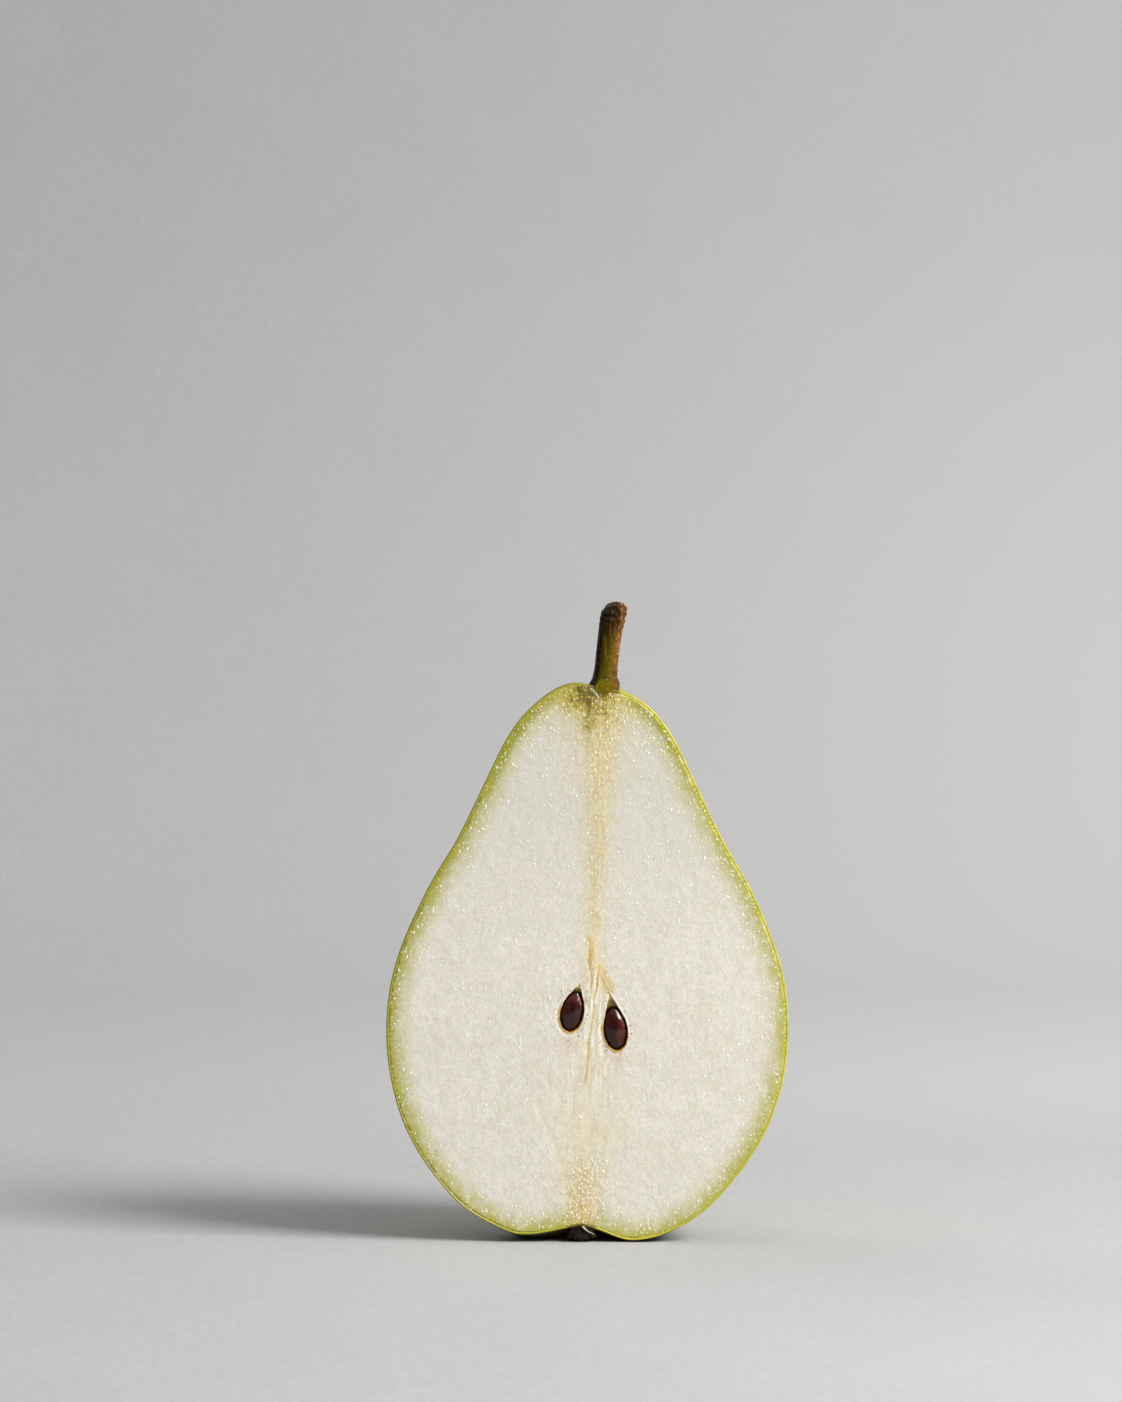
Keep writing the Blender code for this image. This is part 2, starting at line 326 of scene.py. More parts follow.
class Look:
    """A material whose nodes are added one call at a time."""

    def __init__(self, name, roughness=0.5):
        self.material = bpy.data.materials.new(name)
        self.material.use_nodes = True
        self.tree = self.material.node_tree
        self.shader = self.tree.nodes["Principled BSDF"]
        self.shader.inputs["Roughness"].default_value = roughness
        self.place = self.tree.nodes.new("ShaderNodeTexCoord").outputs["Object"]
        self.base = None

    def node(self, kind, inputs=(), **settings):
        made = self.tree.nodes.new(kind)
        for name, value in settings.items():
            setattr(made, name, value)
        for key, value in inputs:
            self.feed(made.inputs[key], value)
        return made

    def feed(self, socket, value):
        if isinstance(value, bpy.types.NodeSocket):
            self.tree.links.new(value, socket)
        else:
            socket.default_value = value

    def axis(self, letter):
        return self.node("ShaderNodeSeparateXYZ", (("Vector", self.place),)).outputs[letter]

    def value(self, name):
        return self.node("ShaderNodeAttribute", attribute_name=name).outputs["Fac"]

    def values(self, *names):
        return [self.value(name) for name in names]

    def stretched(self, sizes, turn=0.0, swirl=0.0):
        """Coordinates in which a feature of the given sizes, in millimetres, is one unit wide.

        The features may be turned in the plane of the cut face, in degrees, and made irregular by a swirl.
        """
        place = self.place
        turns = (("Rotation", (0.0, math.radians(turn), 0.0)),) if turn else ()
        for change in (*turns, ("Scale", [1 / (size * MM) for size in sizes])):
            place = self.node("ShaderNodeMapping", (("Vector", place), change)).outputs["Vector"]
        if swirl:
            drift = self.node("ShaderNodeTexNoise", (("Vector", place), ("Scale", 1.7), ("Detail", 1.0)))
            centred = self.vector("SUBTRACT", drift.outputs["Color"], (0.5, 0.5, 0.5))
            place = self.vector("ADD", place, self.vector("MULTIPLY", centred, (swirl, swirl, swirl)))
        return place

    def vector(self, operation, first, second):
        return self.node("ShaderNodeVectorMath", ((0, first), (1, second)), operation=operation).outputs[0]

    def noise(self, sizes, detail=2.0, roughness=0.5, distortion=0.0):
        inputs = (("Vector", self.stretched(sizes)), ("Scale", 1.0), ("Detail", detail),
                  ("Roughness", roughness), ("Distortion", distortion))
        return self.node("ShaderNodeTexNoise", inputs).outputs["Fac"]

    def cells(self, sizes, turn=0.0, swirl=0.0):
        place = self.stretched(sizes, turn, swirl)
        return self.node("ShaderNodeTexVoronoi", (("Vector", place), ("Scale", 1.0)))

    def chance(self, cells, channel):
        """A number from 0 to 1 that each cell has for itself."""
        return self.node("ShaderNodeSeparateColor", (("Color", cells.outputs["Color"]),)).outputs[channel]

    def grains(self, sizes, share, turn=0.0, swirl=0.6):
        """Irregular grains of the given size in that share of their places."""
        found = self.cells(sizes, turn, swirl)
        reach = self.span(self.chance(found, 1), 0.0, 1.0, 0.22, 0.42)
        inside = self.span(self.math("DIVIDE", found.outputs["Distance"], reach), 1.0, 0.45)
        return self.times(inside, self.math("LESS_THAN", self.chance(found, 0), share))

    def span(self, value, low, high, to_low=0.0, to_high=1.0):
        inputs = (("Value", value), ("From Min", low), ("From Max", high),
                  ("To Min", to_low), ("To Max", to_high))
        return self.node("ShaderNodeMapRange", inputs, interpolation_type="SMOOTHSTEP").outputs["Result"]

    def math(self, operation, first, second=0.0):
        return self.node("ShaderNodeMath", ((0, first), (1, second)), operation=operation).outputs[0]

    def times(self, first, second):
        return self.math("MULTIPLY", first, second)

    def larger(self, first, second):
        return self.math("MAXIMUM", first, second)

    def mix(self, share, first, second):
        """A mix of two colours, each another node's or three numbers from 0 to 255."""
        made = self.node("ShaderNodeMix", data_type="RGBA")
        for place, value in ((0, share), (6, first), (7, second)):
            screen = isinstance(value, tuple) and len(value) == 3
            self.feed(made.inputs[place], colour(*value) if screen else value)
        return made.outputs[2]

    def paint(self, share, tint):
        """Lay a colour over what the material has so far."""
        self.base = self.mix(share, self.base, tint)

    def bump(self, height, distance, strength=1.0):
        """A bump of that distance, in millimetres, on top of any earlier one."""
        inputs = (("Height", height), ("Distance", distance * MM), ("Strength", strength))
        made = self.node("ShaderNodeBump", inputs)
        earlier = self.shader.inputs["Normal"].links
        if earlier:
            self.tree.links.new(earlier[0].from_socket, made.inputs["Normal"])
        self.tree.links.new(made.outputs["Normal"], self.shader.inputs["Normal"])

    def set(self, **sockets):
        """The finished material, with its colour and the given values of its shader."""
        for name, value in {"Base_Color": self.base, **sockets}.items():
            self.feed(self.shader.inputs[name.replace("_", " ")], value)
        return self.material


def flesh_look():
    look = Look("pear_flesh", 0.42)
    rim, core, hollow, wedge, grit, olive = look.values("rim", "core", "hollow", "wedge", "grit", "olive")
    amber, dirt_and_shade, pale, green, pink, strands = look.values("amber", "dirt_and_shade", "pale", "green", "pink", "strands")

    soft = look.noise((2.4, 2.4, 3.2), 3.0)
    fine = look.noise((0.5, 0.5, 0.65), 3.0, 0.6)
    where = look.axis("Z")
    look.base = look.mix(look.span(soft, 0.35, 0.65), (237, 232, 219), (230, 225, 210))
    look.paint(look.span(where, 0.045, 0.085, 0.0, 0.75), (216, 212, 198))
    look.paint(look.span(fine, 0.4, 0.66, 0.0, 0.5), (209, 204, 187))
    blotch = look.span(look.noise((1.4, 1.4, 2.2), 3.0, 0.6), 0.25, 0.7, 0.4, 1.0)
    look.paint(look.times(look.span(rim, 4.8, 0.2), blotch), (188, 182, 80))
    look.paint(look.times(look.span(rim, 2.4, 0.0), look.value("neck")), (142, 140, 14))
    look.paint(look.span(rim, 1.1, 0.0, 0.0, 0.75), (186, 180, 40))
    look.paint(core, (234, 213, 144))
    look.paint(pink, (220, 194, 176))
    look.paint(look.span(olive, 0.0, 0.6), (196, 182, 76))
    look.paint(look.span(olive, 0.3, 1.0), (112, 102, 2))
    deep = look.mix(olive, (176, 146, 60), (106, 90, 14))
    look.paint(look.times(look.span(fine, 0.42, 0.62), look.value("rough")), deep)
    # Partly painted shade: the dark fibres and the stem's trail are the flesh's own colour, the rest is
    # painted shade beside the core.
    look.paint(dirt_and_shade, (132, 118, 92))

    along_core = (("X", look.times(look.value("flow"), 5.0)), ("Z", look.times(where, 240.0)))
    run = look.node("ShaderNodeCombineXYZ", along_core).outputs["Vector"]
    inputs = (("Vector", run), ("Scale", 1.0), ("Detail", 3.0), ("Roughness", 0.6))
    strand = look.node("ShaderNodeTexNoise", inputs).outputs["Fac"]
    look.paint(look.times(look.span(strand, 0.53, 0.64), look.times(strands, 0.75)), (242, 236, 220))
    look.paint(look.times(look.span(strand, 0.46, 0.36), look.times(strands, 0.55)), (206, 180, 112))
    look.paint(green, (200, 180, 84))
    look.paint(pale, (244, 236, 214))
    look.paint(amber, (204, 158, 62))

    big = look.grains((0.66, 0.66, 0.8), grit)
    small = look.grains((0.42, 0.42, 0.52), look.math("ADD", look.times(grit, 0.7), 0.16))
    dashes = look.larger(look.grains((0.5, 0.8, 1.5), 0.34, 34.0), look.grains((0.46, 0.8, 1.4), 0.34, -28.0))
    clear = look.span(olive, 0.0, 1.0, 1.0, 0.55)
    grit_colour = look.mix(olive, (250, 246, 234), (228, 208, 116))
    look.paint(look.times(dashes, look.times(clear, 0.45)), (244, 240, 227))
    look.paint(look.times(small, look.times(clear, 0.65)), grit_colour)
    look.paint(look.times(big, look.times(clear, 0.85)), grit_colour)
    # Painted highlights and painted shadows: white glints and dark specks on the grains round the seed
    # pockets.
    near = look.times(look.value("halo"), 1.5)
    look.paint(look.grains((0.8, 0.5, 0.9), near, -15.0), (255, 252, 244))
    painted_shadow_specks = look.larger(look.grains((0.7, 0.5, 0.8), near, 15.0), look.grains((0.55, 0.5, 0.6), near, -35.0))
    look.paint(look.times(painted_shadow_specks, 0.8), (124, 102, 66))

    wall = look.mix(look.span(look.noise((0.9, 0.9, 1.6), 3.0), 0.35, 0.7), (150, 92, 22), (92, 62, 20))
    # Painted shade: the pocket walls turn near black deeper into the hollow.
    wall = look.mix(look.span(hollow, 0.3, 0.9), wall, (38, 24, 10))
    wall = look.mix(look.span(wedge, 0.0, 0.08), wall, (132, 108, 34))
    wall = look.mix(look.span(wedge, 0.45, 0.85), wall, (216, 198, 120))
    look.paint(look.span(hollow, 0.0, 0.03), wall)

    grain = look.larger(big, look.times(small, 0.6))
    look.bump(look.larger(grain, look.times(dashes, 0.5)), 0.07, 0.9)
    look.bump(strand, 0.09, look.times(strands, 0.8))
    look.bump(fine, 0.05, 0.5)
    shine = look.mix(grain, look.span(fine, 0.3, 0.7, 0.38, 0.56), (0.22, 0.22, 0.22, 1.0))
    gleam = look.span(olive, 0.0, 1.0, 0.5, 0.2)
    return look.set(Roughness=shine, Specular_IOR_Level=gleam, Subsurface_Weight=0.2,
                    Subsurface_Radius=(0.0020, 0.0014, 0.0008), Subsurface_Scale=1.0)


def skin_look():
    look = Look("pear_skin", 0.38)
    broad = look.noise((16.0, 16.0, 22.0), 2.0)
    mottle = look.noise((2.2, 2.2, 2.8), 4.0, 0.6)
    look.base = look.mix(look.span(broad, 0.35, 0.65), (184, 180, 76), (158, 162, 64))
    look.paint(look.span(mottle, 0.4, 0.7, 0.0, 0.5), (194, 190, 100))
    height = look.axis("Z")
    near_stem = look.span(height, 0.086, 0.0985)
    near_calyx = look.span(height, 0.010, 0.0005)
    # Painted shade: the skin within about 4 mm of the floor is painted near black all round the underside, as
    # a contact shadow.
    painted_floor_shade = look.span(height, 0.0042, 0.0012)
    rough = look.span(look.noise((1.6, 1.6, 1.6), 5.0, 0.7), 0.38, 0.58)
    russet = look.times(look.larger(near_stem, near_calyx), rough)
    look.paint(look.times(russet, 0.7), (140, 112, 52))
    look.paint(look.times(near_stem, 0.35), (150, 156, 50))
    dots = look.cells((1.7, 1.7, 2.0))
    apart = dots.outputs["Distance"]
    dot = look.math("LESS_THAN", apart, look.span(look.chance(dots, 1), 0.0, 1.0, 0.03, 0.13))
    look.paint(look.span(apart, 0.30, 0.1, 0.0, 0.35), (158, 170, 60))
    look.paint(look.times(dot, 0.85), (118, 88, 38))
    look.paint(look.times(painted_floor_shade, 0.9), (36, 27, 10))
    edge, foot = look.values("edge", "foot")
    tone = look.span(look.noise((1.2, 1.2, 1.6), 3.0), 0.3, 0.7)
    # Painted shade: the skin's line round the cut is painted darker on the fruit's left side, away from the
    # light, a little less near the floor; outer and inner mix lit and shaded copies of its colours.
    painted_left_shade = look.times(look.span(look.axis("X"), 0.003, -0.003), look.span(height, 0.006, 0.018, 0.65, 1.0))
    outer = look.mix(painted_left_shade, look.mix(tone, (196, 182, 26), (150, 132, 22)), (82, 70, 12))
    inner = look.mix(painted_left_shade, look.mix(tone, (212, 204, 36), (196, 188, 44)), (160, 156, 36))
    look.paint(look.span(edge, 0.1, 0.4), outer)
    look.paint(look.span(edge, 0.55, 0.85), inner)
    brown = look.grains((1.5, 1.5, 2.2), 0.55)
    look.paint(look.times(brown, look.span(edge, 0.95, 0.3, 0.0, 0.75)), (104, 78, 22))
    look.paint(foot, (122, 104, 20))
    look.bump(look.span(apart, 0.22, 0.05), 0.06, 0.7)
    look.bump(mottle, 0.08, 0.35)
    gloss = look.span(look.noise((3.0, 3.0, 3.0), 3.0), 0.3, 0.7, 0.32, 0.46)
    return look.set(Roughness=gloss, Coat_Weight=0.15, Coat_Roughness=0.3, Subsurface_Weight=0.12,
                    Subsurface_Radius=(0.0012, 0.0010, 0.0003), Subsurface_Scale=1.0)


def seed_look():
    look = Look("seed_coat", 0.22)
    streak = look.noise((0.28, 0.28, 3.2), 3.0, 0.55, 0.3)
    patch = look.noise((1.6, 1.6, 2.6), 2.0)
    look.base = look.mix(look.span(streak, 0.35, 0.65), (58, 20, 15), (32, 10, 7))
    look.paint(look.span(patch, 0.42, 0.65, 0.0, 0.6), (88, 28, 22))
    look.paint(look.value("tip"), (20, 8, 5))
    look.bump(streak, 0.035, 0.6)
    gloss = look.span(patch, 0.3, 0.7, 0.10, 0.2)
    return look.set(Roughness=gloss, Coat_Weight=0.24, Coat_Roughness=0.06, Specular_IOR_Level=0.32)


def stem_look():
    look = Look("stem_bark", 0.5)
    grain = look.noise((0.3, 0.3, 2.4), 4.0, 0.6, 0.4)
    blotch = look.noise((1.1, 1.1, 1.8), 3.0, 0.6)
    speckle = look.grains((0.42, 0.42, 0.5), 0.45)
    look.base = look.mix(look.span(grain, 0.35, 0.65), (84, 66, 4), (46, 33, 3))
    look.paint(look.span(blotch, 0.4, 0.65, 0.0, 0.5), (98, 64, 8))
    look.paint(look.value("moss"), (88, 78, 0))
    # Painted light and shade: a warmer, lighter copy of the bark on the side lit from the right, and near
    # black on the left.
    warm = look.mix(look.span(blotch, 0.35, 0.65), (138, 92, 34), (88, 50, 14))
    look.paint(look.value("sunny"), warm)
    look.paint(look.value("shady"), (13, 7, 1))
    tip = look.mix(look.span(blotch, 0.4, 0.6), (54, 30, 6), (22, 11, 1))
    look.paint(look.value("knob"), tip)
    # Painted highlights: pale specks on the lit side.
    look.paint(look.times(speckle, look.span(look.value("sunny"), 0.0, 1.0, 0.2, 0.8)), (214, 180, 134))
    sliced = look.mix(look.span(grain, 0.4, 0.6), (128, 108, 16), (100, 84, 10))
    sliced = look.mix(look.times(speckle, 0.7), sliced, (222, 208, 140))
    look.paint(look.value("sliced"), sliced)
    look.bump(speckle, 0.08, 0.8)
    look.bump(grain, 0.12, 0.8)
    gloss = look.span(blotch, 0.3, 0.7, 0.26, 0.5)
    return look.set(Roughness=gloss, Specular_IOR_Level=0.1)


def calyx_look():
    look = Look("dry_calyx", 0.75)
    vein = look.noise((0.16, 0.16, 1.4), 3.0, 0.6)
    patch = look.noise((0.8, 0.8, 0.8), 2.0)
    look.base = look.mix(look.span(vein, 0.4, 0.72), (14, 6, 5), (42, 25, 21))
    look.paint(look.span(patch, 0.45, 0.7), (8, 3, 3))
    look.paint(look.value("margin"), (64, 42, 34))
    look.paint(look.value("cream"), (226, 212, 172))
    look.bump(vein, 0.06, 0.8)
    return look.set(Roughness=look.span(patch, 0.3, 0.7, 0.55, 0.8), Specular_IOR_Level=0.3)


def paper_look():
    look = Look("studio_paper", 0.9)
    cloud = look.noise((26.0, 60.0, 26.0), 4.0, 0.55)
    fleck = look.noise((1.6, 7.0, 1.6), 3.0, 0.6)
    x, y, z = (look.axis(letter) for letter in "XYZ")
    look.base = look.mix(look.span(cloud, 0.3, 0.7), (171, 171, 171), (174, 174, 174))
    look.paint(look.span(fleck, 0.3, 0.7, 0.0, 0.5), (163, 163, 163))
    # Painted light: the paper is painted lighter towards the back and the right, less so high up the sheet,
    # as falling light would make it.
    painted_light_falloff = look.times(look.span(y, 0.04, 0.24), look.span(x, -0.16, 0.16, 0.2, 1.0))
    painted_light_falloff = look.times(painted_light_falloff, look.span(z, 0.06, 0.22, 1.0, 0.55))
    painted_light_falloff = look.larger(painted_light_falloff, look.span(x, -0.12, 0.16, 0.0, 0.28))
    look.paint(painted_light_falloff, (188, 188, 188))
    reach = look.node("ShaderNodeVectorMath", ((0, look.place),), operation="LENGTH").outputs["Value"]
    outer = look.times(look.span(reach, 0.35, 0.9), look.span(y, 0.1, -0.1))
    look.paint(outer, (138, 138, 138))
    look.bump(fleck, 0.1, 0.2)
    return look.set()


# The fruit


def skin_rows(levels, angles):
    """The skin at each level and angle: 0 is the right edge of the cut, pi the left edge."""
    right_x, right_z, left_x, left_z, back, back_z = (column[:, None] for column in levels.T)
    across, away = np.cos(angles)[None, :], np.sin(angles)[None, :]
    core_x = CORE_FOOT_X + (CORE_TOP_X - CORE_FOOT_X) * back_z / CORE_TOP_Z
    side_x = np.where(across > 0, right_x, left_x)
    side_z = np.where(across > 0, right_z, left_z)
    x = core_x + (side_x - core_x) * np.abs(across)
    z = side_z * (1 - away) + back_z * away
    return np.stack([x, CUT_Y + back * away, z], axis=2)


def outward(rows):
    """Unit normals of a surface given as rows of points, away from the core."""
    normals = np.cross(np.gradient(rows, axis=1), np.gradient(rows, axis=0))
    lengths = np.linalg.norm(normals, axis=2, keepdims=True)
    return normals / np.maximum(lengths, 1e-9)


def settle(points):
    """Press whatever lies below the floor flat, and round the edge of the flat spot."""
    points[..., 2] = (points[..., 2] + np.sqrt(points[..., 2] ** 2 + FLOOR_ROUND**2)) / 2
    return points


def cut_loop(levels):
    """The cut face's outline with its normals, from the calyx hollow up the right edge and down the left."""
    right, left = levels[1:-1, 0:2], levels[1:-1, 2:4]
    loop = np.vstack([levels[:1, 0:2], right, levels[-1:, 0:2], left[::-1]])
    run = np.roll(loop, -1, axis=0) - np.roll(loop, 1, axis=0)
    normal = np.stack([run[:, 1], -run[:, 0]], axis=1)
    return loop, normal / np.linalg.norm(normal, axis=1, keepdims=True)


class Fruit:
    """The rows and loops that the skin and the flesh share."""

    def __init__(self):
        self.levels = even_path(np.array(OUTLINE).reshape(len(OUTLINE), 6), LEVELS)
        self.count = LEVELS - 2
        self.loop, self.loop_normal = cut_loop(self.levels)
        inner_angles = np.linspace(0, math.pi, INNER_COLUMNS + 1)
        rows = skin_rows(self.levels[1:-1], inner_angles)
        rows = rows - outward(rows) * SKIN_EDGE
        rows[..., 1] = np.maximum(rows[..., 1], CUT_Y + 0.3)
        self.inner = settle(rows)[:, 1:-1]

    def inset(self, distance, y=0.0):
        """The outline moved inwards: right edge, left edge (both from below), foot and tip, as 3-D points."""
        flat = self.loop - self.loop_normal * distance
        points = np.stack([flat[:, 0], np.full(len(flat), CUT_Y + y), flat[:, 1]], axis=1)
        return points[1 : self.count + 1], points[: self.count + 1 : -1], points[0], points[self.count + 1]


def skin_piece(fruit, look):
    """The skin: a thin closed shell with a rounded cut edge, fine swells and pores."""
    angles = np.linspace(0, math.pi, SKIN_COLUMNS + 1)
    outer = skin_rows(fruit.levels[1:-1], angles)
    normals = outward(outer)
    behind = outer[..., 1] - CUT_Y
    swell = noise_at(outer.reshape(-1, 3), 9.0).reshape(behind.shape) * 0.14
    dimple = noise_at(outer.reshape(-1, 3), 2.4, 7.0).reshape(behind.shape) * 0.035
    outer = outer + normals * ((swell + dimple) * smoothstep(0.0, 3.0, behind))[..., None]
    outer = settle(outer)
    outer[..., 1] = CUT_Y + np.sqrt((outer[..., 1] - CUT_Y) ** 2 + EDGE_ROUND**2)

    arcs = [math.radians(angle) for angle in (30, 60, 90)]
    bends = [fruit.inset(EDGE_ROUND * (1 - math.cos(a)), EDGE_ROUND * (1 - math.sin(a))) for a in arcs]
    corner = fruit.inset(SKIN_EDGE)
    left = [bend[1] for bend in bends] + [corner[1]]
    right = [corner[0]] + [bend[0] for bend in reversed(bends)]
    columns = [outer, np.stack(left, axis=1), fruit.inner[:, ::-1], np.stack(right, axis=1)]
    rings = np.concatenate(columns, axis=1)
    rows, width = rings.shape[:2]
    faces, corners = ring_faces(rows, width)

    outer_foot, outer_tip = fruit.inset(0.0)[2:]
    points = np.vstack([rings.reshape(-1, 3), outer_foot, corner[2], outer_tip, corner[3]])
    across, _, height = points.T
    last_outer, last_left = SKIN_COLUMNS, SKIN_COLUMNS + 4
    first_right = width - 4
    total = rows * width
    poles = ((0, total, total + 1, -3), (rows - 1, total + 2, total + 3, rows + 2))
    for row, outside, inside, end in poles:
        base = row * width
        for first, last, pole in ((0, last_outer, outside), (last_left, first_right, inside)):
            for j in range(first, last):
                faces.append((base + j, base + j + 1, pole))
                corners += [(row, j), (row, j + 1), (end, j + 0.5)]
        left_side = list(range(last_outer, last_left + 1))
        right_side = list(range(first_right, width)) + [width]
        for side, ends in ((left_side, (inside, outside)), (right_side, (outside, inside))):
            faces.append(tuple(base + j % width for j in side) + ends)
            corners += [(row, j) for j in side] + [(end, side[-1]), (end, side[0])]

    edge = np.zeros((rows, width))
    edge[:, SKIN_COLUMNS + 1 : SKIN_COLUMNS + 5] = (0.4, 0.7, 0.9, 1.0)
    edge[:, first_right:] = (1.0, 0.9, 0.7, 0.4)
    edge[:, [0, SKIN_COLUMNS]] = 0.2
    edge = np.concatenate([edge.ravel(), np.ones(4)])
    foot = smoothstep(3.1, 2.4, np.abs(across - 2.85)) * smoothstep(94.0, 95.0, height)
    notch = smoothstep(2.9, 2.1, np.abs(across - CALYX_AT[0])) * smoothstep(4.6, 3.8, height)
    foot = np.maximum(foot, notch)
    foot *= smoothstep(3.0, 1.5, points[:, 1] - CUT_Y)
    corners = np.array(corners, float)
    outside_share, inside_start, inside_share = 0.9, 0.91, 0.085
    column = corners[:, 1]
    u = np.where(column <= SKIN_COLUMNS, column / SKIN_COLUMNS * outside_share,
                 inside_start + (column - SKIN_COLUMNS) / (width - SKIN_COLUMNS) * inside_share)
    v = (corners[:, 0] + 4) / (rows + 8)
    return make_object("skin", points, faces, look, {"edge": edge, "foot": foot}, np.stack([u, v], axis=1))


class Ring:
    """A closed line on the cut face, seen from a point inside it."""

    def __init__(self, middle, line):
        self.middle = middle
        bearing = self.bearing(line)
        order = np.argsort(bearing)
        self.bearings, self.radii = bearing[order], np.linalg.norm(line - middle, axis=1)[order]

    def bearing(self, points):
        offset = points - self.middle
        return np.arctan2(offset[:, 1], offset[:, 0])

    def beyond(self, points):
        """How far each flat point lies outside the line, negative inside it."""
        reach = np.interp(self.bearing(points), self.bearings, self.radii, period=2 * math.pi)
        return np.linalg.norm(points - self.middle, axis=1) - reach


class Pocket(Ring):
    """One seed chamber: its mouth on the cut face, and the form of its hollow."""

    def __init__(self, seed, facts):
        self.depth, self.shallow = facts["depth"], facts["shallow"]
        tip = np.array(facts["tip"])
        middle = np.array(seed["at"])
        reach = tip - middle
        self.length = np.linalg.norm(reach)
        self.up = reach / self.length
        self.seed_top = seed["size"][2] / 2
        around = np.vstack([seed_outline(seed, POCKET_GAP), tip])
        hull = around[convex_hull_2d([Vector(p) for p in around])]
        hull = np.vstack([hull, hull[:1]])
        along = np.concatenate([[0], np.cumsum(np.linalg.norm(np.diff(hull, axis=0), axis=1))])
        places = np.linspace(0, along[-1], POCKET_STEPS, endpoint=False)
        mouth = np.stack([np.interp(places, along, column) for column in hull.T], axis=1)
        mouth = (np.roll(mouth, 1, axis=0) + 2 * mouth + np.roll(mouth, -1, axis=0)) / 4
        wavy = 1 + 0.012 * np.sin(places * 4.1) + 0.008 * np.sin(places * 9.7)
        self.mouth = middle + (mouth - middle) * wavy[:, None]
        super().__init__(middle, self.mouth)

    def toward_tip(self, points):
        """From 0 at the seed's top to 1 at the pocket's tip, and from 0 to 1 how shallow it is there."""
        along = (points - self.middle) @ self.up
        top = self.seed_top
        return smoothstep(top - 0.4, self.length - 0.2, along), smoothstep(top - 1.2, top + 0.3, along)

    def low_side(self, points):
        """From 0 at the upper right of the pocket to 1 at its lower left."""
        bearing = self.bearing(points)
        return smoothstep(-0.55, 0.6, np.cos(bearing) * -0.5 - np.sin(bearing) * 0.87)


def blob(flat, at, reach):
    """From 1 at a place on the cut face down to 0 well beyond its reach across and up."""
    return bell(np.hypot((flat[:, 0] - at[0]) / reach[0], (flat[:, 1] - at[1]) / reach[1]))


def line_strength(flat, lines):
    """How strongly, from 0 to 1, each point lies on one of the lines, and the height that they add there."""
    strength, height = np.zeros(len(flat)), np.zeros(len(flat))
    for points, half, rise in lines:
        near = bell(line_distance(flat, even_path(points, 24)) / half)
        strength = np.maximum(strength, near)
        height = height + near * rise
    return strength, height


